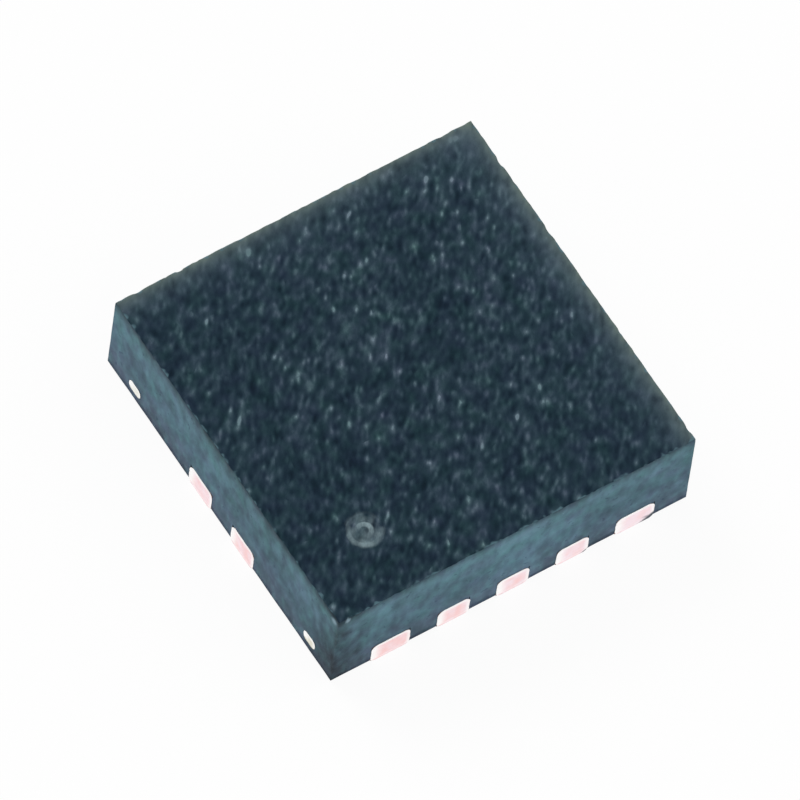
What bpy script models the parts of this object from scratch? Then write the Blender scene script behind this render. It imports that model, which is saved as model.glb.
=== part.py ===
"""A ten-terminal power-converter chip in a sawn, flat no-lead package.

X runs along the two rows of terminals, Y across them and Z up from the circuit board.
The origin lies on the board plane under the middle of the moulded body. Terminals 1 to 5
are the front row at -Y, from -X to +X, and terminals 6 to 10 come back along the rear row.
The saw cut the body out a little off the lead frame's middle, as the photograph shows.
"""

import math

import bmesh
import bpy
import numpy as np
from mathutils import Matrix, Vector

MM = 0.001

# Moulded body, sawn square on all four sides
BODY_LENGTH = 3.00 * MM
BODY_WIDTH = 3.00 * MM
BODY_THICKNESS = 0.85 * MM
STANDOFF = 0.02 * MM  # the lands stand this far proud of the moulding

# Index mark: a shallow turned recess over the corner with terminal 1
MARK_INSET_X = 0.56 * MM
MARK_INSET_Y = 0.555 * MM
MARK_DIAMETER = 0.27 * MM
MARK_RIDGE_DEPTH = 0.006 * MM
MARK_GROOVE_DEPTH = 0.014 * MM
MARK_GROOVES = 2  # the middle one is a disc, and each has a ridge round it

# Lead frame: one copper sheet, half etched from below where the moulding has to grip it
SHEET_THICKNESS = 0.203 * MM
ETCH_DEPTH = 0.10 * MM
ETCH_COVE = 0.025 * MM  # hollow radius where an etched underside meets a full-thickness wall

# The lead frame's middle from the body's middle, which is how far off its marks the saw ran
FRAME_OFFSET_X = 0.025 * MM
FRAME_OFFSET_Y = -0.027 * MM

# Terminals, measured from where a saw on its marks would cut them
TERMINALS_PER_ROW = 5
PITCH = 0.50 * MM
LAND_WIDTH = 0.26 * MM
LAND_LENGTH = 0.40 * MM
LAND_CORNER_RADIUS = 0.08 * MM
HEAD_OVERHANG = 0.10 * MM  # half-etched head past the inner end of the land
HEAD_SIDE = 0.03 * MM  # and past each of its flanks
HEAD_START = 0.24 * MM  # from the mark for the saw to the head's shoulders
HEAD_CORNER_RADIUS = 0.025 * MM
END_LAND_EXTRA = 0.055 * MM  # an end land is this much wider on its outer side
ARM_WIDTH = 0.135 * MM  # side arm of an end terminal, etched thin from both sides
ARM_THICKNESS = 0.09 * MM
ARM_EDGE_RADIUS = 0.035 * MM
ARM_SETBACK = 0.33 * MM  # from the mark for the saw to the arm's middle

# Die pad
PAD_END_MARGIN = 0.30 * MM  # from the pad's ends to the marks for the saw
PAD_TO_LAND_GAP = 0.275 * MM
PAD_CORNER_RADIUS = 0.10 * MM
PAD_CHAMFER = 0.20 * MM  # at the corner next to terminal 1
PAD_LIP = 0.07 * MM  # half-etched rim round the pad
TIE_BAR_WIDTH = 0.285 * MM
TIE_BAR_SPACING = 0.56 * MM

# Die and the silver-filled epoxy under it
DIE_LENGTH = 1.80 * MM
DIE_WIDTH = 1.25 * MM
DIE_THICKNESS = 0.20 * MM
BOND_LINE = 0.025 * MM
FILLET_SPREAD = 0.06 * MM
FILLET_CLIMB = 0.06 * MM

# Bond wires: a ball on the die, a loop, and a stitch on the terminal
POWER_WIRE_DIAMETER = 0.050 * MM
SIGNAL_WIRE_DIAMETER = 0.033 * MM
POWER_WIRES_PER_TERMINAL = 2
BALL_RATIO = 2.2  # ball diameter to wire diameter
BALL_HEIGHT = 0.030 * MM
BALL_GAP = 0.025 * MM  # between the balls of a pair
BALL_INSET = 0.06 * MM  # from the die's edge to a ball's rim
BALL_STATIONS = ((0.0, 0.8), (0.25, 1.0), (0.75, 1.0), (1.0, 0.6))  # shares of height, of radius
BALL_SHOULDER = slice(2, 4)  # the stations round the top of the ball
STITCH_LENGTH = 0.08 * MM
STITCH_RATIO = 1.5  # flattened width to wire diameter
STITCH_STATIONS = ((0.6, 0.9, 0.55), (1.0, 1.0, 0.25))  # shares of length, width, thickness
STITCH_GAP = 0.035 * MM  # between the stitches of a pair
STITCH_INSET = 0.09 * MM  # from the land's inner end back to a stitch's middle
LOOP_HANDLE = 0.28 * MM  # upright handle of the loop's curve, whose crest comes to about half of it
LANDING_RUN = 0.20 * MM

# Neighbouring faces keep this clearance, and the moulding has it round all it holds
FIT = 0.005 * MM

# Facets
CORNER_STEPS = 4
COVE_STEPS = 3
MARK_SEGMENTS = 36
WIRE_SIDES = 8
LOOP_STATIONS = 9
WELD_DISTANCE = 0.0001 * MM

# Levels and edges worked out from the sizes above
HALF_LENGTH = BODY_LENGTH / 2
HALF_WIDTH = BODY_WIDTH / 2
BODY_TOP = STANDOFF + BODY_THICKNESS
PAD_HALF_LENGTH = HALF_LENGTH - PAD_END_MARGIN
PAD_HALF_WIDTH = HALF_WIDTH - LAND_LENGTH - PAD_TO_LAND_GAP
FRAME_MIDDLE = (FRAME_OFFSET_X, FRAME_OFFSET_Y, 0.0)
ETCHED_MIDDLE = (ETCH_DEPTH + SHEET_THICKNESS) / 2
ATTACH_BOTTOM = SHEET_THICKNESS + FIT
DIE_BOTTOM = ATTACH_BOTTOM + BOND_LINE + FIT
DIE_TOP = DIE_BOTTOM + DIE_THICKNESS

# Base colour (linear RGB), metallic value and roughness of each finish
FINISHES = {
    "mould_compound": ((0.017, 0.031, 0.050), 0.0, 0.62),
    "lead_frame_copper": ((0.86, 0.60, 0.54), 1.0, 0.38),
    "silver_epoxy": ((0.52, 0.53, 0.54), 0.6, 0.55),
    "die_silicon": ((0.13, 0.14, 0.17), 0.4, 0.25),
    "bond_wire_gold": ((0.90, 0.66, 0.26), 1.0, 0.25),
}


def clear_scene():
    """Remove whatever the file opened with."""
    for item in list(bpy.data.objects):
        bpy.data.objects.remove(item, do_unlink=True)


def make_finish(name):
    """Principled material from the finish table."""
    colour, metallic, roughness = FINISHES[name]
    material = bpy.data.materials.new(name)
    material.use_nodes = True
    shader = material.node_tree.nodes["Principled BSDF"]
    shader.inputs["Base Color"].default_value = (*colour, 1.0)
    shader.inputs["Metallic"].default_value = metallic
    shader.inputs["Roughness"].default_value = roughness
    return material


def close_mesh(name, bm):
    """Turn a bmesh solid into a mesh with its faces pointing out."""
    bmesh.ops.recalc_face_normals(bm, faces=bm.faces)
    if bm.calc_volume(signed=True) < 0:
        bmesh.ops.reverse_faces(bm, faces=bm.faces)
    mesh = bpy.data.meshes.new(name)
    bm.to_mesh(mesh)
    bm.free()
    return mesh


def place(name, mesh, finish, location=FRAME_MIDDLE, turn=0.0):
    """Named object for one sub-part, at the lead frame's middle unless it goes elsewhere."""
    if not mesh.materials:
        mesh.materials.append(finish)
    item = bpy.data.objects.new(name, mesh)
    item.location = location
    item.rotation_euler = (0, 0, turn)
    bpy.context.scene.collection.objects.link(item)
    return item


def rounded_outline(corners):
    """Closed outline from (x, y, radius) corners, each radius drawn as an arc."""
    points = []
    for index, (x, y, radius) in enumerate(corners):
        corner = Vector((x, y))
        before = Vector(corners[index - 1][:2]) - corner
        after = Vector(corners[(index + 1) % len(corners)][:2]) - corner
        if radius <= 0:
            points.append(corner)
            continue
        half_angle = before.angle(after) / 2
        room = 0.49 * min(before.length, after.length)
        reach = min(radius / math.tan(half_angle), room)
        bisector = (before.normalized() + after.normalized()).normalized()
        centre = corner + bisector * (reach / math.cos(half_angle))
        start = corner + before.normalized() * reach
        end = corner + after.normalized() * reach
        # angle_signed is positive clockwise, and a rotation is positive anticlockwise
        sweep = -(start - centre).angle_signed(end - centre)
        # the arc's two ends lie exactly on the sides that it joins
        points.append(start)
        for step in range(1, CORNER_STEPS):
            turned = Matrix.Rotation(sweep * step / CORNER_STEPS, 2) @ (start - centre)
            points.append(centre + turned)
        points.append(end)
    return points


def rectangle(left, right, near, far, radius=0.0):
    """Corners of an upright rectangle, anticlockwise, all with one radius."""
    return [
        (left, near, radius),
        (right, near, radius),
        (right, far, radius),
        (left, far, radius),
    ]


def prism(name, corners, low, high):
    """Upright solid over a rounded outline, between two heights."""
    bm = bmesh.new()
    outline = rounded_outline(corners)
    floor = bm.faces.new([bm.verts.new((p.x, p.y, low)) for p in outline])
    raised = bmesh.ops.extrude_face_region(bm, geom=[floor])["geom"]
    top = [part for part in raised if isinstance(part, bmesh.types.BMVert)]
    bmesh.ops.translate(bm, verts=top, vec=(0, 0, high - low))
    return close_mesh(name, bm)


def bar(name, corners, start, end):
    """Solid along X over a rounded outline in Y and Z."""
    mesh = prism(name, corners, start, end)
    # the upright prism's (y, z, x) becomes (x, y, z), which is a pure turn
    mesh.transform(Matrix(((0, 0, 1, 0), (1, 0, 0, 0), (0, 1, 0, 0), (0, 0, 0, 1))))
    return mesh


def loft(name, rings, split=False):
    """Closed solid through rings of points, an array of (ring, point, xyz).

    split cuts every quad along the same diagonal, so that a curved solid and its grown
    cutter are facetted alike.
    """
    bm = bmesh.new()
    loops = [[bm.verts.new(point) for point in ring] for ring in rings]
    for lower, upper in zip(loops, loops[1:]):
        for side in range(len(lower)):
            beside = (side + 1) % len(lower)
            quad = (lower[side], lower[beside], upper[beside], upper[side])
            if split:
                bm.faces.new(quad[:3])
                bm.faces.new((quad[0], *quad[2:]))
            else:
                bm.faces.new(quad)
    bm.faces.new(reversed(loops[0]))
    bm.faces.new(loops[-1])
    return close_mesh(name, bm)


def combine(name, meshes, operation):
    """One mesh from a first solid and the solids joined to it or cut from it."""
    helpers = [bpy.data.objects.new(f"{name}_helper", mesh) for mesh in meshes]
    for helper in helpers:
        bpy.context.scene.collection.objects.link(helper)
    for helper in helpers[1:]:
        boolean = helpers[0].modifiers.new(operation.lower(), "BOOLEAN")
        boolean.operation = operation
        boolean.solver = "EXACT"
        boolean.object = helper
    bpy.context.view_layer.update()
    graph = bpy.context.evaluated_depsgraph_get()
    result = bpy.data.meshes.new_from_object(helpers[0].evaluated_get(graph))
    result.name = name
    for helper in helpers:
        bpy.data.objects.remove(helper, do_unlink=True)
    return result


def etched_solid(name, corners_at, grow):
    """Metal whose plain walls curve out into a half-etched underside.

    corners_at gives the outline's corners for an outward offset. The wall is plain up to
    the cove, a quarter circle that is hollow towards the moulding, and grow pushes the
    whole surface outwards, which makes that circle smaller. The solid ends halfway up
    inside the half-etched sheet.
    """
    angles = [math.pi / 2 * step / COVE_STEPS for step in range(1, COVE_STEPS + 1)]
    hollow = ETCH_COVE - grow
    springing = ETCH_DEPTH - ETCH_COVE
    stations = [(grow, -grow), (grow, springing)]
    stations += [(ETCH_COVE - hollow * math.cos(a), springing + hollow * math.sin(a)) for a in angles]
    stations.append((ETCH_COVE, ETCHED_MIDDLE))
    rings = []
    for offset, height in stations:
        outline = rounded_outline(corners_at(offset))
        rings.append([(point.x, point.y, height) for point in outline])
    return loft(name, rings)


def terminal_mesh(name, row_x, offset_x, offset_y, grow=0.0):
    """Terminal whose mark for the saw is at y = 0, with its head towards +Y.

    row_x is the terminal's place along its row, and the offsets are the lead frame's own
    as the terminal lies. The end terminals are wider on their outer side and carry an
    arm to the sawn side of the body. grow pushes every face outwards, which turns the
    same shape into its cutter.
    """
    last = (TERMINALS_PER_ROW - 1) / 2 * PITCH
    is_end = abs(row_x) > last - PITCH / 2
    outward = math.copysign(1.0, row_x)
    left = -LAND_WIDTH / 2 - (END_LAND_EXTRA if is_end and outward < 0 else 0.0)
    right = LAND_WIDTH / 2 + (END_LAND_EXTRA if is_end and outward > 0 else 0.0)
    low = ETCH_DEPTH - grow
    high = SHEET_THICKNESS + grow

    def land(offset):
        """Corners of the land under its head, its two inner ones rounded."""
        start = HEAD_START + ETCH_COVE - grow
        corners = rectangle(left - offset, right + offset, start, LAND_LENGTH + offset)
        return corners[:2] + [(x, y, LAND_CORNER_RADIUS) for x, y, _ in corners[2:]]

    # the plain front part of the land ends inside the part with the cove
    toe = rectangle(left - grow, right + grow, -offset_y - grow, HEAD_START + 2 * ETCH_COVE)
    head = rectangle(
        left - HEAD_SIDE - grow,
        right + HEAD_SIDE + grow,
        HEAD_START - grow,
        LAND_LENGTH + HEAD_OVERHANG + grow,
        HEAD_CORNER_RADIUS,
    )
    solids = [
        prism(name, toe, -grow, high),
        etched_solid(name, land, grow),
        prism(name, head, low, high),
    ]
    if is_end:
        side = outward * (HALF_LENGTH - abs(row_x) + grow) - offset_x
        reach = ARM_WIDTH / 2 + grow
        rise = ARM_THICKNESS / 2 + grow
        arm = rectangle(
            ARM_SETBACK - reach,
            ARM_SETBACK + reach,
            ETCHED_MIDDLE - rise,
            ETCHED_MIDDLE + rise,
            ARM_EDGE_RADIUS,
        )
        solids.append(bar(name, arm, min(0.0, side), max(0.0, side)))
    return combine(name, solids, "UNION")


def die_pad_mesh(name, grow=0.0):
    """Exposed pad with a half-etched rim, and two bars that tie it to the sawn sides."""
    low = ETCH_DEPTH - grow
    high = SHEET_THICKNESS + grow

    def plate(offset):
        """Corners of a plate as large as the pad and an offset all round."""
        length = PAD_HALF_LENGTH + offset
        width = PAD_HALF_WIDTH + offset
        return rectangle(-length, length, -width, width, PAD_CORNER_RADIUS)

    def exposed(offset):
        """Corners of the exposed face, with the chamfer next to terminal 1."""
        corners = plate(offset)
        left, near, _ = corners[0]
        return [(left, near + PAD_CHAMFER, 0.0), (left + PAD_CHAMFER, near, 0.0)] + corners[1:]

    solids = [
        etched_solid(name, exposed, grow),
        prism(name, plate(PAD_LIP + grow), low, high),
    ]
    for side in (-1, 1):
        middle = side * TIE_BAR_SPACING / 2
        reach = TIE_BAR_WIDTH / 2 + grow
        end = HALF_LENGTH + grow
        bar = rectangle(-end - FRAME_OFFSET_X, end - FRAME_OFFSET_X, middle - reach, middle + reach)
        solids.append(prism(name, bar, -grow, high))
    return combine(name, solids, "UNION")


def die_mesh(name, grow=0.0):
    """Sawn block of silicon."""
    length = DIE_LENGTH / 2 + grow
    width = DIE_WIDTH / 2 + grow
    return prism(name, rectangle(-length, length, -width, width), DIE_BOTTOM - grow, DIE_TOP + grow)


def ring_at(half_length, half_width, height):
    """Four corners of a level rectangle about the lead frame's middle."""
    return [(x, y, height) for x, y, _ in rectangle(-half_length, half_length, -half_width, half_width)]


def die_attach_mesh(name, grow=0.0):
    """Epoxy squeezed out under the die, with a sloping fillet up its four sides."""
    foot = FILLET_SPREAD + grow
    crest = 2 * FIT + grow
    solid = loft(
        name,
        [
            ring_at(DIE_LENGTH / 2 + foot, DIE_WIDTH / 2 + foot, ATTACH_BOTTOM - grow),
            ring_at(DIE_LENGTH / 2 + crest, DIE_WIDTH / 2 + crest, DIE_BOTTOM + FILLET_CLIMB + grow),
        ],
    )
    return combine(name, [solid, die_mesh(f"{name}_seat", FIT)], "DIFFERENCE")


def wire_profile(span, rise, diameter):
    """Stations along a wire in its own upright plane.

    span is the level distance from ball to stitch and rise is the height of the ball's
    seat over the stitch's seat. Returns the distance and height of each station, the
    direction of travel there, and the half sizes across the plane and within it. The
    loop is a cubic curve that leaves the ball upright and meets the terminal level.
    """
    radius = diameter / 2
    neck = rise + BALL_HEIGHT + radius
    run = span - STITCH_LENGTH / 2

    ball_shares, ball_widths = np.array(BALL_STATIONS).T
    ball_heights = rise + BALL_HEIGHT * ball_shares
    ball_radii = BALL_RATIO * radius * ball_widths

    t = np.linspace(0.0, 1.0, LOOP_STATIONS)
    weights = np.array([(1 - t) ** 3, 3 * (1 - t) ** 2 * t, 3 * (1 - t) * t**2, t**3])
    slopes = np.array([-3 * (1 - t) ** 2, 3 * (1 - t) * (1 - 3 * t), 3 * t * (2 - 3 * t), 3 * t**2])
    handles = np.array(
        [(0.0, neck), (0.0, neck + LOOP_HANDLE), (run - LANDING_RUN, radius), (run, radius)]
    )
    loop = weights.T @ handles
    travel = slopes.T @ handles

    tail_shares, tail_widths, tail_depths = np.array(STITCH_STATIONS).T
    tail_half = radius * tail_depths

    upright = np.tile((0.0, 1.0), (len(BALL_STATIONS), 1))
    level = np.tile((1.0, 0.0), (len(STITCH_STATIONS), 1))
    round_wire = np.full(LOOP_STATIONS, radius)
    distance = np.concatenate([0 * ball_shares, loop[:, 0], run + STITCH_LENGTH * tail_shares])
    height = np.concatenate([ball_heights, loop[:, 1], tail_half])
    heading = np.concatenate([upright, travel, level])
    heading /= np.linalg.norm(heading, axis=1, keepdims=True)
    across = np.concatenate([ball_radii, round_wire, STITCH_RATIO * radius * tail_widths])
    within = np.concatenate([ball_radii, round_wire, tail_half])
    return distance, height, heading, across, within


def wire_mesh(name, start, end, diameter, grow=0.0):
    """Bond wire from a ball seated at start to a stitch centred on end."""
    level = np.array([end[0] - start[0], end[1] - start[1]])
    span = float(np.linalg.norm(level))
    along = np.array([*level / span, 0.0])
    sideways = np.array([-along[1], along[0], 0.0])
    upward = np.array([0.0, 0.0, 1.0])
    distance, height, heading, across, within = wire_profile(span, start[2] - end[2], diameter)
    height[0] -= grow
    height[BALL_SHOULDER] += grow
    distance[-1] += grow

    foot = np.array([start[0], start[1], end[2]])
    centres = foot + np.outer(distance, along) + np.outer(height, upward)
    normals = np.outer(-heading[:, 1], along) + np.outer(heading[:, 0], upward)
    angles = (np.arange(WIRE_SIDES) + 0.5) * 2 * math.pi / WIRE_SIDES
    rings = (
        centres[:, None, :]
        + np.cos(angles)[None, :, None] * (across + grow)[:, None, None] * sideways
        + np.sin(angles)[None, :, None] * (within + grow)[:, None, None] * normals[:, None, :]
    )
    return loft(name, rings, split=True)


def mark_cutter_mesh(name):
    """Turned cutter for the index mark: grooves and ridges of one width, with sloping flanks."""
    radius = MARK_DIAMETER / 2
    band = radius / (2 * MARK_GROOVES)
    flank = band / 4
    profile = [(0.0, -MARK_GROOVE_DEPTH)]
    for edge in range(1, 2 * MARK_GROOVES):
        ridge_outside = edge % 2 == 1
        inner, outer = -MARK_GROOVE_DEPTH, -MARK_RIDGE_DEPTH
        if not ridge_outside:
            inner, outer = outer, inner
        profile += [(edge * band - flank, inner), (edge * band + flank, outer)]
    profile += [(radius, -MARK_RIDGE_DEPTH), (radius, MARK_GROOVE_DEPTH), (0.0, MARK_GROOVE_DEPTH)]

    bm = bmesh.new()
    verts = [bm.verts.new((r, 0.0, z)) for r, z in profile]
    edges = [bm.edges.new(pair) for pair in zip(verts, verts[1:])]
    bmesh.ops.spin(
        bm,
        geom=verts + edges,
        cent=(0, 0, 0),
        axis=(0, 0, 1),
        angle=2 * math.pi,
        steps=MARK_SEGMENTS,
    )
    bmesh.ops.remove_doubles(bm, verts=bm.verts, dist=WELD_DISTANCE)
    return close_mesh(name, bm)


def row_places():
    """Place along the row of each terminal, from -X to +X."""
    middle = (TERMINALS_PER_ROW - 1) / 2
    return [(index - middle) * PITCH for index in range(TERMINALS_PER_ROW)]


def terminal_plan():
    """(number, x, row side) of each terminal, counted anticlockwise from the marked corner."""
    front = [(x, -1) for x in row_places()]
    rear = [(x, 1) for x in reversed(row_places())]
    return [(number, x, side) for number, (x, side) in enumerate(front + rear, start=1)]


def wire_ends(x, side, diameter, lane):
    """Ball seat and stitch seat of one wire.

    lane is the wire's place among those of its terminal, counted from their middle.
    The balls keep a margin to the die's edges, so the rows fan out from the die.
    """
    ball = BALL_RATIO * diameter
    widest = (POWER_WIRES_PER_TERMINAL - 1) / 2 * (ball + BALL_GAP)
    last_ball = DIE_LENGTH / 2 - BALL_INSET - ball / 2 - widest
    fan = last_ball / max(row_places())
    ball_x = x * fan + lane * (ball + BALL_GAP)
    ball_y = side * (DIE_WIDTH / 2 - BALL_INSET - ball / 2)
    stitch_x = x + lane * (STITCH_RATIO * diameter + STITCH_GAP)
    stitch_y = side * (HALF_WIDTH - LAND_LENGTH + STITCH_INSET)
    return (ball_x, ball_y, DIE_TOP + FIT), (stitch_x, stitch_y, SHEET_THICKNESS + FIT)


def wire_plan():
    """(name, start, end, diameter) of every bond wire."""
    plan = []
    for _, x, side in terminal_plan():
        power = side < 0
        count = POWER_WIRES_PER_TERMINAL if power else 1
        diameter = POWER_WIRE_DIAMETER if power else SIGNAL_WIRE_DIAMETER
        for wire in range(count):
            lane = wire - (count - 1) / 2
            start, end = wire_ends(x, side, diameter, lane)
            kind = "power_wire" if power else "signal_wire"
            number = 1 + sum(name.startswith(kind) for name, *_ in plan)
            plan.append((f"{kind}_{number}", start, end, diameter))
    return plan


def place_terminal(name, x, side, finish, grow=0.0):
    """Terminal, or its cutter, at its place in the front or rear row."""
    # a rear terminal is a front one turned half a turn, so its places change sign
    mesh = terminal_mesh(name, -side * x, -side * FRAME_OFFSET_X, -side * FRAME_OFFSET_Y, grow)
    turn = math.pi if side > 0 else 0.0
    location = (x + FRAME_OFFSET_X, side * HALF_WIDTH + FRAME_OFFSET_Y, 0)
    return place(name, mesh, finish, location, turn)


def build_lead_frame(finish):
    """Ten terminals and the die pad, left after the frame is sawn apart."""
    for number, x, side in terminal_plan():
        place_terminal(f"terminal_{number}", x, side, finish)
    place("die_pad", die_pad_mesh("die_pad"), finish)


def build_die(attach_finish, die_finish):
    """Die on its bed of epoxy."""
    place("die_attach", die_attach_mesh("die_attach"), attach_finish)
    place("silicon_die", die_mesh("silicon_die"), die_finish)


def build_wires(finish):
    """Bond wires from the die to the terminals."""
    for name, start, end, diameter in wire_plan():
        wire = place(name, wire_mesh(name, start, end, diameter), finish)
        wire.data.shade_smooth()
        wire.data.set_sharp_from_angle(angle=math.radians(50))


def build_insert_cutters(finish):
    """Imprint of everything that the moulding was cast round."""
    cutters = [
        place_terminal(f"cut_terminal_{number}", x, side, finish, FIT)
        for number, x, side in terminal_plan()
    ]
    cutters.append(place("cut_die_pad", die_pad_mesh("cut_die_pad", FIT), finish))
    cutters.append(place("cut_die_attach", die_attach_mesh("cut_die_attach", FIT), finish))
    cutters.append(place("cut_silicon_die", die_mesh("cut_silicon_die", FIT), finish))
    for name, start, end, diameter in wire_plan():
        mesh = wire_mesh(f"cut_{name}", start, end, diameter, FIT)
        cutters.append(place(f"cut_{name}", mesh, finish))
    return cutters


def build_mould(finish):
    """Moulded block with its index mark, cast round the frame, the die and the wires."""
    corners = rectangle(-HALF_LENGTH, HALF_LENGTH, -HALF_WIDTH, HALF_WIDTH)
    block = prism("mould_body", corners, STANDOFF, BODY_TOP)
    body = place("mould_body", block, finish, location=(0, 0, 0))

    mark_place = (-HALF_LENGTH + MARK_INSET_X, -HALF_WIDTH + MARK_INSET_Y, BODY_TOP)
    cutters = [place("cut_index_mark", mark_cutter_mesh("cut_index_mark"), finish, mark_place)]
    cutters += build_insert_cutters(finish)

    drawer = bpy.data.collections.new("cutters")
    bpy.context.scene.collection.children.link(drawer)
    for cutter in cutters:
        bpy.context.scene.collection.objects.unlink(cutter)
        drawer.objects.link(cutter)
        cutter.hide_render = True
        cutter.display_type = "WIRE"
    boolean = body.modifiers.new("imprint", "BOOLEAN")
    boolean.operation = "DIFFERENCE"
    boolean.solver = "EXACT"
    boolean.operand_type = "COLLECTION"
    boolean.collection = drawer


def main():
    """Model the whole chip."""
    clear_scene()
    finishes = {name: make_finish(name) for name in FINISHES}
    build_lead_frame(finishes["lead_frame_copper"])
    build_die(finishes["silver_epoxy"], finishes["die_silicon"])
    build_wires(finishes["bond_wire_gold"])
    build_mould(finishes["mould_compound"])


main()
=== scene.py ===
"""Looks of a ten-terminal power-converter chip in a flat, sawn no-lead package.

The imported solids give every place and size. This script lays a grained skin over the
moulding, puts sawn and smeared ends on the copper of the terminals and tie bars, and
finishes the die, its bed of epoxy and the bond wires inside. X runs along the two rows of
terminals and Z up from the board, and the marked corner is at -X and -Y.
"""

import logging
import math
from collections.abc import Callable, Mapping, Sequence
from dataclasses import dataclass, field
from enum import Enum
from functools import cached_property
from typing import Any

import bmesh
import bpy
import numpy as np
from mathutils import Matrix, Vector


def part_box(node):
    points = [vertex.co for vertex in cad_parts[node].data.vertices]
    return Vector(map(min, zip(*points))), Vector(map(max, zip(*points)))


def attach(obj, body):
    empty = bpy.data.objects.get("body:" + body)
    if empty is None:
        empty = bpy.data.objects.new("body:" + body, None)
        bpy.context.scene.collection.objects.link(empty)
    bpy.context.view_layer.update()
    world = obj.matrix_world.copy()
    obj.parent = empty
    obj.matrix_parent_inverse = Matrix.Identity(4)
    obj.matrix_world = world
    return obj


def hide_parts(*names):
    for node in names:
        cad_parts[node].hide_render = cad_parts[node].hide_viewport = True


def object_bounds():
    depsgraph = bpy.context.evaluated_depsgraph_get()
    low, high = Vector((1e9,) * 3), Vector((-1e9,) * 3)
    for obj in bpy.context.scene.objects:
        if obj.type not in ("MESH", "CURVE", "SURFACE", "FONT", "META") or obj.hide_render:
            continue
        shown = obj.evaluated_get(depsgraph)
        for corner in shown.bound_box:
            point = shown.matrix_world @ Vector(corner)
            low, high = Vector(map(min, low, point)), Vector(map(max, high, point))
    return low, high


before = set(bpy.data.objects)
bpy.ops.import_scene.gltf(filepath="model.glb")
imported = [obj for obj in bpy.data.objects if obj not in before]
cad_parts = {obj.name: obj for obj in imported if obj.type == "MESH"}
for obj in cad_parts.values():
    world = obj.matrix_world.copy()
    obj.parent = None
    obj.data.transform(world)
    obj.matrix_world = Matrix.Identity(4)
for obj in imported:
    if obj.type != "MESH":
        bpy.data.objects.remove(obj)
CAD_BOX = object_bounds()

log = logging.getLogger("chip_and_glint")

MM = 1e-3
UM = 1e-6
BODY = "root"
WELD = 0.05 * UM

Colour = tuple[float, float, float]
Point = tuple[float, float, float]
Array = np.ndarray


def srgb(*shown: float) -> Colour:
    """Turn a colour as a screen shows it into light levels.

    Args:
        shown: its red, green and blue, 0 to 255.

    Returns:
        The three linear levels, 0 to 1.
    """
    shares = np.array(shown) / 255
    levels = np.where(shares <= 0.04045, shares / 12.92, ((shares + 0.055) / 1.055) ** 2.4)
    return tuple(float(level) for level in levels)


def math_method(operation: str, reflected: bool = False) -> Callable[..., "Socket"]:
    """Make a method of Socket that adds one Math node.

    Args:
        operation: Blender's name of the sum.
        reflected: whether the socket is the second operand.

    Returns:
        The method. It takes a socket or a number and gives the sum.
    """

    def method(self: "Socket", other: Any = 0.0) -> "Socket":
        """Add the node, and return its result."""
        node = self.tree.nodes.new("ShaderNodeMath")
        node.operation = operation
        for entry, operand in zip(node.inputs, (other, self) if reflected else (self, other)):
            feed(self.tree, entry, operand)
        return Socket(self.tree, node.outputs[0])

    return method


class Socket:
    """Output of a shader node that takes part in sums as a number does."""

    def __init__(self, tree: bpy.types.NodeTree, output: bpy.types.NodeSocket) -> None:
        """Keep the output and the tree that it belongs to."""
        self.tree = tree
        self.output = output

    __add__, __radd__ = math_method("ADD"), math_method("ADD", True)
    __sub__, __rsub__ = math_method("SUBTRACT"), math_method("SUBTRACT", True)
    __mul__, __rmul__ = math_method("MULTIPLY"), math_method("MULTIPLY", True)
    __pow__, zigzag = math_method("POWER"), math_method("PINGPONG")
    at_least, at_most = math_method("MAXIMUM"), math_method("MINIMUM")
    size = math_method("ABSOLUTE")

    def within(self, floor: float = 0.0, ceiling: float = 1.0) -> "Socket":
        """The value, held between a floor and a ceiling."""
        return self.at_least(floor).at_most(ceiling)


def feed(tree: bpy.types.NodeTree, entry: bpy.types.NodeSocket, value: Any) -> None:
    """Link a socket to a node's input, or write a plain value to it.

    Args:
        tree: the material's or the world's nodes.
        entry: the input to feed.
        value: a Socket, a number, a vector or a colour.
    """
    if isinstance(value, Socket):
        tree.links.new(value.output, entry)
    elif entry.type == "RGBA" and len(value) == 3:
        entry.default_value = (*value, 1.0)
    else:
        entry.default_value = value


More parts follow.
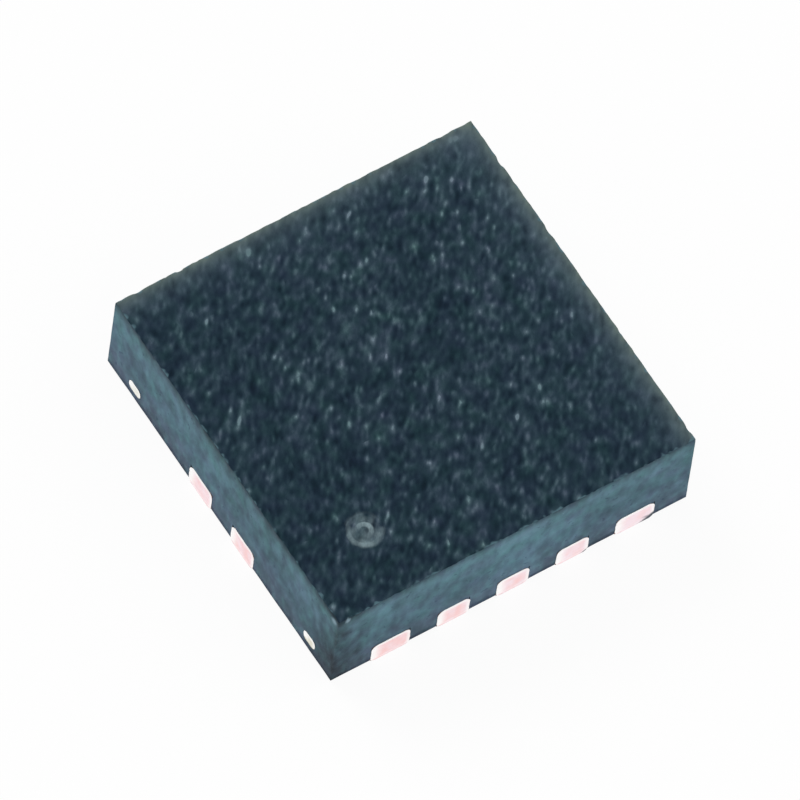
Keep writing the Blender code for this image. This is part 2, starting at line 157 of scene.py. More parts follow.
class Paint:
    """Node tree of one material or world, with short ways to add what finishes share."""

    def __init__(self, owner: bpy.types.Material | bpy.types.World) -> None:
        """Start the owner's tree empty but for its output."""
        owner.use_nodes = True
        self.tree = owner.node_tree
        self.tree.nodes.clear()
        kind = "World" if isinstance(owner, bpy.types.World) else "Material"
        self.end = self.tree.nodes.new(f"ShaderNodeOutput{kind}")

    def node(
        self,
        kind: str,
        settings: Mapping[str, Any] | None = None,
        sockets: Mapping[str | int, Any] | None = None,
        output: str | int = 0,
    ) -> Socket:
        """Add a node of any kind.

        Args:
            kind: Blender's type name of the node.
            settings: its properties, and "stops" for a ramp's (place, colour) pairs.
            sockets: values or links of its inputs, by name or number.
            output: name or number of the output that is wanted.

        Returns:
            That output.
        """
        node = self.tree.nodes.new(kind)
        for name, value in (settings or {}).items():
            if name == "stops":
                self.set_stops(node.color_ramp, value)
            else:
                setattr(node, name, value)
        for key, value in (sockets or {}).items():
            feed(self.tree, node.inputs[key], value)
        return Socket(self.tree, node.outputs[output])

    @staticmethod
    def set_stops(ramp: bpy.types.ColorRamp, stops: Sequence[tuple[float, Colour]]) -> None:
        """Write a ramp's stops.

        Args:
            ramp: the ramp, with the two stops that it comes with.
            stops: (place, colour) pairs from 0 to 1, two or more.
        """
        for index, (place, colour) in enumerate(stops):
            stop = ramp.elements[index] if index < 2 else ramp.elements.new(place)
            stop.position = place
            stop.color = (*colour, 1.0)

    def place(self) -> Socket:
        """Object coordinates in millimetres."""
        metres = self.node("ShaderNodeTexCoord", output="Object")
        return self.node("ShaderNodeMapping", {}, {"Vector": metres, "Scale": (1 / MM,) * 3})

    def axis(self, place: Socket, name: str) -> Socket:
        """One of a place's three coordinates."""
        return self.node("ShaderNodeSeparateXYZ", {}, {0: place}, name)

    def turned(self, place: Socket, size: Point, turn: float) -> Socket:
        """A place in units of three lengths, along axes turned about Z."""
        sockets = {"Vector": place, "Rotation": (0.0, 0.0, turn), "Scale": size}
        return self.node("ShaderNodeMapping", {"vector_type": "TEXTURE"}, sockets)

    def noise(
        self, place: Socket, size: float | Point, detail: float = 2.0, turn: float = 0.0
    ) -> Socket:
        """Soft noise from 0 to 1 about a mean of a half.

        Args:
            place: coordinates in millimetres.
            size: length of its blots in millimetres, one or three along the turned axes.
            detail: how many finer octaves are added.
            turn: angle of the first axis from X, about Z.

        Returns:
            The noise.
        """
        spot = self.turned(place, size if isinstance(size, tuple) else (size,) * 3, turn)
        return self.node("ShaderNodeTexNoise", {}, {"Vector": spot, "Scale": 1.0, "Detail": detail})

    def attribute(self, name: str) -> Socket:
        """A number that the mesh holds at its vertices."""
        settings = {"attribute_type": "GEOMETRY", "attribute_name": name}
        return self.node("ShaderNodeAttribute", settings, output="Fac")

    def ramp(self, value: Socket, stops: Sequence[tuple[float, Colour]]) -> Socket:
        """Colour that runs through stops as a value goes from 0 to 1."""
        return self.node("ShaderNodeValToRGB", {"stops": stops}, {"Fac": value})

    def mix(self, share: Any, first: Any, second: Any) -> Socket:
        """Blend two colours by the share of the second, 0 to 1."""
        return self.node("ShaderNodeMix", {"data_type": "RGBA"}, {0: share, 6: first, 7: second}, 2)

    def shade(self, colour: Socket, level: Socket | float) -> Socket:
        """Scale a colour's three levels by one value."""
        sockets = {0: colour, "Scale": level}
        return self.node("ShaderNodeVectorMath", {"operation": "SCALE"}, sockets)

    def tinted(self, colour: Socket, place: Socket, size: float, red: float, blue: float) -> Socket:
        """Drift a colour between slate and teal in patches.

        Args:
            colour: the colour.
            place: coordinates in millimetres.
            size: length of the patches, in millimetres.
            red: how much of the noise scales the red.
            blue: how much of the noise scales the blue.

        Returns:
            The colour times (1 + red n, 1, 1 + blue n), where n is noise about 0.
        """
        aside = self.node("ShaderNodeMapping", {}, {"Vector": place, "Location": (7.0, 3.0, 5.0)})
        drift = self.noise(aside, size, 1.0) - 0.5
        levels = {0: 1 + red * drift, 1: 1.0, 2: 1 + blue * drift}
        scale = self.node("ShaderNodeCombineXYZ", {}, levels)
        return self.node("ShaderNodeVectorMath", {"operation": "MULTIPLY"}, {0: colour, 1: scale})

    def output(self, surface: Socket) -> None:
        """Link the finished shader to the tree's output."""
        feed(self.tree, self.end.inputs["Surface"], surface)


@dataclass(frozen=True)
class Surface:
    """What varies over a finish: its colour, roughness and fine relief."""

    colour: Socket
    roughness: Socket
    relief: Socket


@dataclass(frozen=True)
class Finish:
    """Ground of every finish: a name and the numbers that are the same all over it."""

    name: str = "finish"
    metallic: float = 0.0
    specular: float = 0.5
    relief_depth: float = 1.0 * UM

    def surface(self, paint: Paint, place: Socket) -> Surface:
        """What varies over the finish, from coordinates in millimetres."""
        raise NotImplementedError

    def material(self) -> bpy.types.Material:
        """Make the material.

        Returns:
            A material with one principled shader.
        """
        material = bpy.data.materials.new(self.name)
        paint = Paint(material)
        surface = self.surface(paint, paint.place())
        bump = paint.node(
            "ShaderNodeBump", {}, {"Distance": self.relief_depth, "Height": surface.relief}
        )
        sockets = {
            "Base Color": surface.colour,
            "Metallic": self.metallic,
            "Roughness": surface.roughness,
            "Specular IOR Level": self.specular,
            "Normal": bump,
        }
        paint.output(paint.node("ShaderNodeBsdfPrincipled", {}, sockets))
        return material


@dataclass(frozen=True)
class GrainedTop(Finish):
    """Epoxy as it leaves a spark-eroded mould: dark, with short light flecks one way.

    The tones stand at the shares of a bell curve three spreads wide on either side.
    """

    name: str = "grained_top"
    specular: float = 0.04
    relief_depth: float = 1.6 * UM
    tones: tuple[tuple[float, Colour], ...] = (
        *((0.0, srgb(14, 28, 39)), (0.11, srgb(18, 33, 45)), (0.23, srgb(22, 38, 50))),
        *((0.39, srgb(29, 46, 58)), (0.5, srgb(35, 53, 64)), (0.61, srgb(42, 60, 71))),
        *((0.77, srgb(57, 75, 86)), (0.89, srgb(73, 91, 101)), (1.0, srgb(104, 124, 134))),
    )
    ring: Colour = srgb(130, 150, 156)
    broken: Colour = srgb(140, 166, 176)
    worn: Colour = srgb(78, 96, 112)
    torn: Colour = srgb(84, 113, 123)
    fringe: Colour = srgb(104, 118, 107)
    lay: float = math.radians(53)
    half_body: float = 1.5
    fray_blots: float = 0.055
    fray_wander: float = 0.09
    fray_width: float = 0.012
    fray_rise: float = 52.0
    fray_cover: float = 0.85

    def flecks(self, paint: Paint, place: Socket, size: float) -> Socket:
        """Separate soft flecks, one to a cell of a stretched pattern, few of them bright.

        Args:
            paint: the material's nodes.
            place: coordinates in millimetres.
            size: width of a cell, in millimetres.

        Returns:
            0 between the flecks, rising to 1 in the middle of the brightest.
        """
        spot = paint.turned(place, (1.9 * size, size, size), self.lay)
        cells = {"Vector": spot, "Scale": 1.0}
        distance = paint.node("ShaderNodeTexVoronoi", {}, cells, "Distance")
        chance = paint.node("ShaderNodeTexVoronoi", {}, cells, "Color")
        chance = paint.node("ShaderNodeSeparateXYZ", {}, {0: chance}, "X")
        return chance**1.6 * ((0.45 - distance) * 3.2).within()

    def frayed(self, paint: Paint, place: Socket) -> Socket:
        """Where the saw tore the top's edge, as a ragged band of bare filler.

        Args:
            paint: the material's nodes.
            place: coordinates in millimetres.

        Returns:
            1 within a distance of the edge that wanders with a noise, else 0. The band
            closes at the near corner.
        """
        ragged = paint.noise(place, self.fray_blots, 0.6)
        x, y = paint.axis(place, "X"), paint.axis(place, "Y")
        close = 0.35 * (0.13 - (x + y + 2 * self.half_body)).at_least(0.0)
        width = self.fray_wander * (ragged - 0.5) + self.fray_width - close
        band = width + x.size().at_least(y.size()) - self.half_body
        return (band * self.fray_rise).within(0.0, self.fray_cover)

    def surface(self, paint: Paint, place: Socket) -> Surface:
        """Tone from the mesh's own grain, with separate flecks and finer grain added."""
        fine = paint.noise(place, (0.024, 0.012, 0.02), 2.0, self.lay)
        dust = paint.noise(place, 0.007, 1.0)
        flecks = self.flecks(paint, place, 0.064) + 0.8 * self.flecks(paint, place, 0.047)
        flecks = flecks + 0.8 * self.flecks(paint, place, 0.057)
        # Painted light: the top grows lighter towards the far corner.
        drift = (paint.axis(place, "X") + paint.axis(place, "Y")) * 0.016
        grain = paint.attribute("grain")
        level = 0.056 + 0.83 * grain + 0.36 * flecks + drift
        level = level + 0.18 * (fine - 0.5) + 0.08 * (dust - 0.5)
        colour = paint.tinted(paint.ramp(level, self.tones), place, 0.13, 0.7, 0.45)
        # The mark's lightness: the recess's own finish with painted highlights on its rings.
        mark = paint.attribute("mark") * (0.5 + fine)
        colour = paint.mix(mark.at_most(1.0), colour, self.ring)
        speckle = 0.2 + 1.2 * grain + 0.4 * fine
        # A lighter band along the far edges of the top.
        colour = paint.mix(paint.attribute("worn") * speckle, colour, self.worn)
        colour = paint.mix(paint.attribute("fringe") * speckle, colour, self.fringe)
        colour = paint.mix(self.frayed(paint, place), colour, self.torn)
        # Bare filler in the nicks, with a painted glint.
        colour = paint.mix(paint.attribute("chip_and_glint"), colour, self.broken)
        return Surface(colour, 0.72 - 0.15 * fine, flecks * 0.6 + fine * 0.6 + dust * 0.4)


@dataclass(frozen=True)
class SawnEpoxy(Finish):
    """Filled epoxy cut by a diamond saw: teal grey, mottled, bluer towards the board, with a
    painted shade along the board.
    """

    name: str = "sawn_epoxy"
    specular: float = 0.12
    relief_depth: float = 1.2 * UM
    standoff: float = 0.02
    height: float = 0.85
    half_body: float = 1.5
    # Painted shade along the board.
    foot: Colour = srgb(54, 68, 87)
    low: Colour = srgb(84, 103, 120)
    middle: Colour = srgb(80, 110, 125)
    upper: Colour = srgb(92, 128, 141)
    brink: Colour = srgb(86, 118, 130)
    lip: Colour = srgb(72, 100, 112)
    edge: Colour = srgb(54, 76, 88)
    green: Colour = srgb(90, 130, 138)
    slate: Colour = srgb(76, 98, 120)
    particle: Colour = srgb(44, 68, 92)
    quartz: Colour = srgb(124, 156, 164)
    broken: Colour = srgb(138, 164, 177)

    def surface(self, paint: Paint, place: Socket) -> Surface:
        """Colour by height, blurred by mottling, with cut filler and the saw's streaks.

        Painted shade darkens the end by the near corner, most of all at the front.
        """
        broad = paint.noise(place, (0.42, 0.42, 0.50), 1.0) - 0.5
        mottle = paint.noise(place, (0.11, 0.11, 0.15), 1.0) - 0.5
        patch = paint.noise(place, (0.075, 0.075, 0.12), 1.0) - 0.5
        grit = paint.noise(place, 0.020, 2.0)
        lump = paint.noise(place, 0.042, 1.0)
        streak = paint.noise(place, (0.35, 0.35, 0.010), 1.0)
        height = (paint.axis(place, "Z") - self.standoff) * (1 / self.height)
        # The two foot stops are a painted shade along the board.
        stops = (
            (0.0, self.foot),
            (0.03, self.foot),
            (0.07, self.low),
            (0.45, self.middle),
            (0.86, self.upper),
            (0.92, self.brink),
            (0.955, self.lip),
            (0.985, self.edge),
        )
        colour = paint.ramp(height + 0.9 * mottle * height * (1 - height), stops)
        colour = paint.mix((1.8 * patch).within(0.0, 0.5), colour, self.green)
        colour = paint.mix((-1.8 * patch).within(0.0, 0.5), colour, self.slate)
        colour = paint.mix(((lump - 0.69) * 7).within(0.0, 0.55), colour, self.particle)
        colour = paint.mix(((grit - 0.74) * 9).within(0.0, 0.6), colour, self.quartz)
        y = paint.axis(place, "Y")
        # Distance from the near corner along either side.
        entry = paint.axis(place, "X") + y + 2 * self.half_body
        front = ((0.05 - self.half_body - y) * 40).within()
        # Painted shade: darker towards the near corner, most of all on the front.
        corner_shade = (0.08 + 0.10 * front) * (1 - entry * 1.2).at_least(0.0)
        corner_shade = corner_shade + 0.48 * (1 - entry * 2.6).at_least(0.0)
        # Painted light: a pool of light on the middle of the front.
        front_light_pool = 0.13 * front * (1 - 2.2 * (entry - 1.25) ** 2).at_least(0.0)
        # Painted shade on the upper part of the sides other than the front.
        upper_shade = 1.3 * (1 - front) * (height - 0.78).within(0.0, 0.2)
        shade = 1 + 0.7 * mottle + 0.5 * patch + 0.9 * broad + 0.25 * (grit - 0.5)
        shade = shade + 0.04 * (streak - 0.5) + front_light_pool - corner_shade - upper_shade
        colour = paint.tinted(paint.shade(colour, shade), place, 0.15, 0.5, 0.3)
        # Bare filler in the nicks, with a painted glint.
        colour = paint.mix(paint.attribute("chip_and_glint"), colour, self.broken)
        return Surface(colour, 0.74 - 0.12 * grit, grit * 0.6 + streak * 0.4)


@dataclass(frozen=True)
class Mottled(Finish):
    """Two tones under a broad noise b and a fine noise f.

    The second tone's share, the light and the roughness are each a sum k + l b + m f,
    and their fields hold k, l and m.
    """

    tones: tuple[Colour, Colour] = (srgb(128, 128, 128), srgb(128, 128, 128))
    broad: tuple[float | Point, float] = (0.3, 2.0)
    fine: tuple[float | Point, float] = (0.01, 2.0)
    share: Point = (0.0, 1.0, 0.0)
    light: Point = (1.0, 0.0, 0.0)
    rough: Point = (0.5, 0.0, 0.2)
    swell: float = 0.0

    def surface(self, paint: Paint, place: Socket) -> Surface:
        """The three sums, over a relief of f plus the swell times b."""
        broad, fine = paint.noise(place, *self.broad), paint.noise(place, *self.fine)
        share, light, rough = (
            sum((part * noise for part, noise in zip(parts, (broad, fine)) if part), level)
            for level, *parts in (self.share, self.light, self.rough)
        )
        colour = paint.shade(paint.mix(share, *self.tones), light)
        return Surface(colour, rough, fine + self.swell * broad if self.swell else fine)


@dataclass(frozen=True)
class SawnCopper(Finish):
    """Copper that the saw cut through: pale pink, streaked along the cut, with a painted highlight
    at its rim.
    """

    name: str = "sawn_copper"
    metallic: float = 1.0
    relief_depth: float = 0.5 * UM
    face: Colour = srgb(250, 231, 237)
    warm: Colour = srgb(251, 212, 212)
    rim: Colour = srgb(255, 254, 253)
    flash_and_shade: Colour = srgb(72, 78, 88)

    def surface(self, paint: Paint, place: Socket) -> Surface:
        """Streaks along the cut, a warm cloud, the white rim as a painted highlight, and a dark
        corner of epoxy smear and painted shade.
        """
        streak = paint.noise(place, (0.12, 0.12, 0.006), 2.0)
        cloud = paint.noise(place, 0.08, 1.0)
        spread = 0.23 * paint.axis(place, "X") * paint.axis(place, "Y")
        share = ((cloud - 0.5) * 2.2 + 0.5 + spread).within()
        colour = paint.mix(share, self.face, self.warm)
        # Painted highlight along the rim and the burr.
        rim = (paint.attribute("rim") * (0.6 + 0.8 * streak)).at_most(1.0)
        colour = paint.mix(rim, paint.shade(colour, 0.93 + 0.12 * streak), self.rim)
        # Epoxy smear and painted shade at the lower right corner.
        colour = paint.mix(paint.attribute("flash_and_shade"), colour, self.flash_and_shade)
        return Surface(colour, 0.34 + 0.22 * streak, streak)


@dataclass(frozen=True)
class Silicon(Finish):
    """Sawn silicon die: broad power metal in bars on its face, bare grey flanks."""

    name: str = "silicon"
    metallic: float = 0.4
    relief_depth: float = 0.5 * UM
    bar_width: float = 0.09
    metal: Colour = srgb(150, 146, 132)
    trench: Colour = srgb(86, 84, 104)

    def surface(self, paint: Paint, place: Socket) -> Surface:
        """Bars of metal from a saw-tooth along X, over a thin oxide tint."""
        steps = paint.axis(place, "X") * (1 / self.bar_width)
        bars = ((steps.zigzag(1.0) - 0.35) * 12).within()
        tint = paint.noise(place, 0.4, 2.0)
        grit = paint.noise(place, 0.01, 1.0)
        colour = paint.mix(bars, self.trench, self.metal)
        return Surface(paint.shade(colour, 0.8 + 0.4 * tint), 0.22 + 0.16 * grit, bars + 0.3 * grit)


@dataclass(frozen=True)
class SilverEpoxy(Finish):
    """Epoxy full of silver flakes."""

    name: str = "silver_flake_epoxy"
    metallic: float = 0.6
    relief_depth: float = 1.5 * UM
    flake: Colour = srgb(206, 206, 202)
    binder: Colour = srgb(134, 132, 124)

    def surface(self, paint: Paint, place: Socket) -> Surface:
        """Flat flakes in a duller binder."""
        flakes = paint.noise(place, (0.016, 0.010, 0.004), 2.0)
        lumps = paint.noise(place, 0.05, 1.0)
        share = ((flakes - 0.42) * 5).within()
        colour = paint.mix(share, self.binder, self.flake)
        return Surface(colour, 0.62 - 0.25 * share, flakes + 0.5 * lumps)


class Dressing(Enum):
    """The finishes that the pieces wear."""

    TOP = GrainedTop()
    SAWN = SawnEpoxy()
    SMOOTH = Mottled(
        *("smooth_epoxy", 0.0, 0.25, 0.6 * UM),
        tones=(srgb(36, 46, 54), srgb(58, 70, 78)),
        broad=(0.3, 3.0),
        fine=(0.012, 2.0),
        share=(0.25, 0.5, 0.0),
        light=(0.85, 0.0, 0.3),
        swell=0.4,
    )
    CUT_COPPER = SawnCopper()
    CUT_ARM = SawnCopper("sawn_arm", face=srgb(238, 238, 228), warm=srgb(226, 222, 204))
    COPPER = Mottled(
        *("etched_copper", 1.0),
        tones=(srgb(226, 160, 132), srgb(176, 112, 88)),
        broad=(0.25, 2.0),
        fine=(0.008, 3.0),
        share=(0.2, 0.6, 0.0),
        light=(0.8, 0.0, 0.4),
        rough=(0.42, 0.0, 0.25),
    )
    TIN = Mottled(
        *("tin_plate", 1.0, 0.5, 0.8 * UM),
        tones=(srgb(226, 225, 221), srgb(178, 177, 174)),
        broad=((0.5, 0.12, 0.3), 2.0),
        share=(0.0, 0.7, 0.3),
        rough=(0.36, 0.0, 0.22),
    )
    SILICON = Silicon()
    SILVER = SilverEpoxy()
    GOLD = Mottled(
        *("bond_gold", 1.0, 0.5, 0.4 * UM),
        tones=(srgb(244, 208, 128), srgb(214, 170, 92)),
        broad=(0.09, 1.0),
        fine=((0.02, 0.004, 0.004), 2.0),
        share=(0.0, 0.0, 1.0),
        rough=(0.16, 0.2, 0.0),
    )

    @cached_property
    def material(self) -> bpy.types.Material:
        """The finish's material, made once."""
        return self.value.material()


@dataclass(frozen=True)
class Grain:
    """Seeded random field with one correlation length along its lay and one across.

    White noise on a square table is blurred by a Gaussian, done as a product with the
    Gaussian's own transform, and scaled to a mean of 0 and a spread of 1.
    """

    along: float
    across: float
    seed: int
    lay: float = 0.0
    span: float = 3.3 * MM
    cells: int = 640

    @cached_property
    def table(self) -> Array:
        """Values of the field at the table's cells."""
        white = np.random.default_rng(self.seed).standard_normal((self.cells, self.cells))
        wave = np.fft.fftfreq(self.cells, self.span / self.cells)
        east, north = np.meshgrid(wave, wave, indexing="ij")
        lengthwise = east * math.cos(self.lay) + north * math.sin(self.lay)
        crosswise = north * math.cos(self.lay) - east * math.sin(self.lay)
        blur = np.exp(
            -2 * math.pi**2 * ((lengthwise * self.along) ** 2 + (crosswise * self.across) ** 2)
        )
        soft = np.fft.ifft2(np.fft.fft2(white) * blur).real
        return (soft - soft.mean()) / soft.std()

    def at(self, x: Array, y: Array) -> Array:
        """Read the field between its cells.

        Args:
            x: places along the table's first axis, in metres.
            y: places along its second axis.

        Returns:
            The field there, blended from the four nearest cells.
        """
        column = np.mod(x / self.span * self.cells, self.cells)
        row = np.mod(y / self.span * self.cells, self.cells)
        west, south = np.floor(column).astype(int), np.floor(row).astype(int)
        right, up = column - west, row - south
        west, south = west % self.cells, south % self.cells
        east, north = (west + 1) % self.cells, (south + 1) % self.cells
        lower = self.table[west, south] * (1 - right) + self.table[east, south] * right
        upper = self.table[west, north] * (1 - right) + self.table[east, north] * right
        return lower * (1 - up) + upper * up


def smooth_step(value: Array, start: float, end: float) -> Array:
    """Rise from 0 at start to 1 at end, level at both: 3t squared minus 2t cubed."""
    share = np.clip((value - start) / (end - start), 0.0, 1.0)
    return share * share * (3 - 2 * share)


def graded_lines(
    low: float, high: float, pitch: float, fine: float, middle: float, reach: float
) -> Array:
    """Places of grid lines, closer together round one spot.

    The lines stand at equal steps of the integral of their density.

    Args:
        low: first line.
        high: last line.
        pitch: spacing away from the spot.
        fine: spacing at the spot.
        middle: place of the spot.
        reach: half width of the spot.

    Returns:
        The lines' places, from low to high.
    """
    samples = np.linspace(low, high, 6001)
    near = smooth_step(np.abs(samples - middle), 1.25 * reach, reach)
    density = 1 / pitch + (1 / fine - 1 / pitch) * near
    count = np.concatenate([[0.0], np.cumsum((density[1:] + density[:-1]) / 2 * np.diff(samples))])
    steps = round(float(count[-1]))
    return np.interp(np.linspace(0, count[-1], steps + 1), count, samples)


def quads(*corners: Array) -> list[list[int]]:
    """Faces from four arrays of their corners' numbers."""
    return np.stack(corners, axis=-1).reshape(-1, 4).tolist()


def grid_faces(number: Array) -> list[list[int]]:
    """Upward faces of a grid of points that are numbered along X and Y."""
    return quads(number[:-1, :-1], number[1:, :-1], number[1:, 1:], number[:-1, 1:])


def link(name: str, data: bpy.types.ID) -> bpy.types.Object:
    """Make an object of some data and put it in the scene."""
    item = bpy.data.objects.new(name, data)
    bpy.context.scene.collection.objects.link(item)
    return item


def direction(azimuth: float, elevation: float) -> Vector:
    """Unit vector at an angle from +X towards +Y and at one above the level."""
    level = math.cos(elevation)
    return Vector((math.cos(azimuth) * level, math.sin(azimuth) * level, math.sin(elevation)))


def new_mesh(name: str, points: Array, faces: Sequence[Sequence[int]]) -> bpy.types.Mesh:
    """Mesh from an array of points and lists of their numbers."""
    mesh = bpy.data.meshes.new(name)
    mesh.from_pydata(points.tolist(), [], faces)
    return mesh


def read_vectors(items: bpy.types.bpy_prop_collection, name: str) -> Array:
    """Read one vector of each vertex or face of a mesh, as an array with a row for each."""
    values = np.empty(len(items) * 3, np.float32)
    items.foreach_get(name, values)
    return values.reshape(-1, 3).astype(float)


def write_attribute(mesh: bpy.types.Mesh, name: str, values: Array) -> None:
    """Store one number at each vertex."""
    layer = mesh.attributes.new(name, "FLOAT", "POINT")
    layer.data.foreach_set("value", values.astype(np.float32))


def merged_copy(node: str) -> bpy.types.Mesh:
    """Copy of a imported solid's mesh with its loose triangles joined.

    Args:
        node: name of the solid.

    Returns:
        A closed mesh of flat faces.
    """
    bm = bmesh.new()
    bm.from_mesh(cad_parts[node].data)
    bmesh.ops.remove_doubles(bm, verts=bm.verts, dist=WELD)
    bmesh.ops.dissolve_degenerate(bm, edges=bm.edges, dist=WELD)
    mesh = bpy.data.meshes.new(f"{node}_copy")
    bm.to_mesh(mesh)
    bm.free()
    return mesh


def combined(
    name: str, mesh: bpy.types.Mesh, tools: Sequence[bpy.types.Mesh], operation: str
) -> bpy.types.Mesh:
    """Join a mesh with others, or keep what it shares with them.

    Args:
        name: name of the result.
        mesh: the first closed mesh.
        tools: the other closed meshes.
        operation: Blender's name of the Boolean.

    Returns:
        The resulting mesh.
    """
    helpers = [link(f"{name}_helper", part) for part in (mesh, *tools)]
    for helper in helpers[1:]:
        boolean = helpers[0].modifiers.new("boolean", "BOOLEAN")
        boolean.operation = operation
        boolean.solver = "MANIFOLD"
        boolean.object = helper
    graph = bpy.context.evaluated_depsgraph_get()
    result = bpy.data.meshes.new_from_object(helpers[0].evaluated_get(graph))
    result.name = name
    for helper in helpers:
        bpy.data.objects.remove(helper, do_unlink=True)
    return result


def add_piece(
    mesh: bpy.types.Mesh,
    dressings: Sequence[Dressing],
    kinds: Array,
    nodes: Sequence[str],
    flat: Array | None = None,
) -> bpy.types.Object:
    """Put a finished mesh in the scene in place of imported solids.

    Args:
        mesh: the piece's mesh, which gives it its name.
        dressings: the finishes that it wears.
        kinds: number of each face's finish in that list.
        nodes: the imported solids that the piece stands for.
        flat: whether each face is shaded flat, or None for a smooth piece.

    Returns:
        The piece.
    """
    mesh.materials.clear()
    for dressing in dressings:
        mesh.materials.append(dressing.material)
    mesh.polygons.foreach_set("material_index", kinds.astype(np.int32))
    mesh.shade_smooth()
    mesh.set_sharp_from_angle(angle=math.radians(42))
    if flat is not None:
        mesh.polygons.foreach_set("use_smooth", ~flat)
    piece = link(mesh.name, mesh)
    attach(piece, BODY)
    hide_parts(*nodes)
    mesh.calc_loop_triangles()
    log.info("%s: %d triangles", piece.name, len(mesh.loop_triangles))
    return piece


@dataclass
class Moulding:
    """Moulded epoxy body: a grained top with its index mark, and four sawn sides.

    The skin is one closed block. Its top is a grid over X and Y, and its sides carry the
    grid's border down in rings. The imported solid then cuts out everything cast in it.
    """

    node: str = "mould_body"
    pitch: float = 13.6 * UM
    mark_pitch: float = 6.0 * UM
    nicks: tuple[tuple[int, float, float, float], ...] = (
        (0, -1.436 * MM, 32 * UM, 70 * UM),
        (2, -1.417 * MM, 19 * UM, 40 * UM),
    )
    nick_reach: float = 26.0 * UM
    nick_margin: float = 14.0 * UM
    nick_share: float = 1.3
    mark_x: float = -0.94 * MM
    mark_y: float = -0.945 * MM
    mark_radius: float = 0.135 * MM
    mark_ring: float = 0.0506 * MM
    mark_period: float = 0.0675 * MM
    mark_depth: float = 10.0 * UM
    mark_swing: float = 4.0 * UM
    # Bearings of the painted highlights on the rings.
    mark_highlight_bearings: tuple[float, float] = (math.radians(38), math.radians(205))
    skin_depth: float = 3.0 * UM
    relief: float = 7.0 * UM
    side_depth: float = 4.6 * UM
    wave_depth: float = 0.5 * UM
    ripple: float = 1.3 * UM
    chip_depth: float = 5.0 * UM
    chip_fall: float = 14.0 * UM
    dent_threshold: float = 0.7
    drop_reach: float = 12.0 * UM
    drop_share: float = 0.9
    edge_reach: float = 22.0 * UM
    edge_tones: dict[str, tuple[tuple[float, float], ...]] = field(
        default_factory=lambda: {
            "worn": ((0.75, 113 * UM), (0.6, 100 * UM)),
            "fringe": ((0.75, 49 * UM), (0.68, 47 * UM)),
        }
    )
    tone_limit: float = 0.85
    top_band: float = 40.0 * UM
    side_band: float = 30.0 * UM
    facing_up: float = 0.45
    rings: int = 22
    overlap: float = 6.0 * UM
    lay: float = math.radians(53)

    def __post_init__(self) -> None:
        """Read the body's corners and seed the random fields."""
        self.low, self.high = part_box(self.node)
        self.flecks = Grain(21 * UM, 11 * UM, 11, self.lay)
        self.lumps = Grain(46 * UM, 28 * UM, 12, self.lay)
        self.clouds = Grain(220 * UM, 220 * UM, 15)
        self.wander = Grain(20 * UM, 20 * UM, 13)
        self.blots = Grain(15 * UM, 15 * UM, 16)
        self.dents = Grain(24 * UM, 24 * UM, 14)

    def grain(self, x: Array, y: Array) -> Array:
        """Tone of the grain, 0 to 1.

        The tone is a sum of a fine, a coarse and a broad random field, three of whose
        spreads lie on either side of a half.
        """
        broad = 0.36 * self.lumps.at(x, y) + 0.06 * self.clouds.at(x, y)
        return np.clip(0.5 + (0.87 * self.flecks.at(x, y) + broad) / 6, 0.0, 1.0)

    def mark(self, x: Array, y: Array) -> tuple[Array, Array, Array]:
        """The index mark: a turned recess with rings.

        Its depth is a cosine of the radius about a mean, level inside the first valley.

        Args:
            x: places in X.
            y: places in Y.

        Returns:
            How far a place is in the mark, 0 to 1, its depth there, and its lightness: the recess's
            own finish with painted highlights on its rings that change with the bearing.
        """
        radius = np.hypot(x - self.mark_x, y - self.mark_y)
        bearing = np.arctan2(y - self.mark_y, x - self.mark_x)
        inside = smooth_step(radius, self.mark_radius + 14 * UM, self.mark_radius + 1 * UM)
        phase = np.maximum(radius, self.mark_ring - self.mark_period / 2) - self.mark_ring
        ridge = np.cos(2 * math.pi * phase / self.mark_period)
        depth = self.skin_depth + self.mark_depth - self.mark_swing * ridge
        inner = radius < self.mark_ring + self.mark_period / 2
        # Painted highlights on the turned rings, brightest at set bearings, and painted light on
        # one side of the recess.
        ring_highlight = (0.5 + 0.5 * np.cos(bearing - np.where(inner, *self.mark_highlight_bearings))) ** 1.3
        lit_side = 0.13 + 0.17 * (0.5 - 0.5 * np.sin(bearing)) ** 3
        bright = np.where(inner, 0.54, 0.23) * np.clip(1.6 * ridge + 0.8, 0, 1.4)
        light = lit_side + bright * ring_highlight + 0.12 * self.blots.at(x, y)
        soft = smooth_step(radius, self.mark_radius + 24 * UM, self.mark_radius - 10 * UM)
        return inside, depth, soft * np.clip(light, 0, 1)

    def gaps(self, x: Array, y: Array) -> tuple[Array, ...]:
        """Distances of points from the west, east, south and north sides."""
        return x - self.low.x, self.high.x - x, y - self.low.y, self.high.y - y

    def chips(self, side: int, along: Array) -> Array:
        """How far the top edge of a side is broken back: mostly hardly, here and there more.

        Args:
            side: number of the side, in the order of the gaps.
            along: place along it.

        Returns:
            The depth: a ripple, and what a dent leaves above a threshold or a nick adds.
        """
        row = np.full_like(along, 0.37 * MM * (side + 1))
        wander, dent = self.wander.at(along, row), self.dents.at(along, row)
        broken = np.clip(dent - self.dent_threshold, 0, 1.4)
        for nicked, place, width, _ in self.nicks:
            nick = np.exp(-(((along - place) / width) ** 2))
            broken += self.nick_share * (nicked == side) * nick
        return self.ripple * (1 + np.tanh(wander)) + self.chip_depth * broken

    def inset(self, side: int, along: Array, fall: Array) -> Array:
        """How far a sawn side lies inside its plane: a base, waves, and chips near the top."""
        waves = self.wave_depth * self.wander.at(along * 0.4 + side * MM, fall * 0.6)
        return self.side_depth + waves + self.chips(side, along) * np.exp(-fall / self.chip_fall)

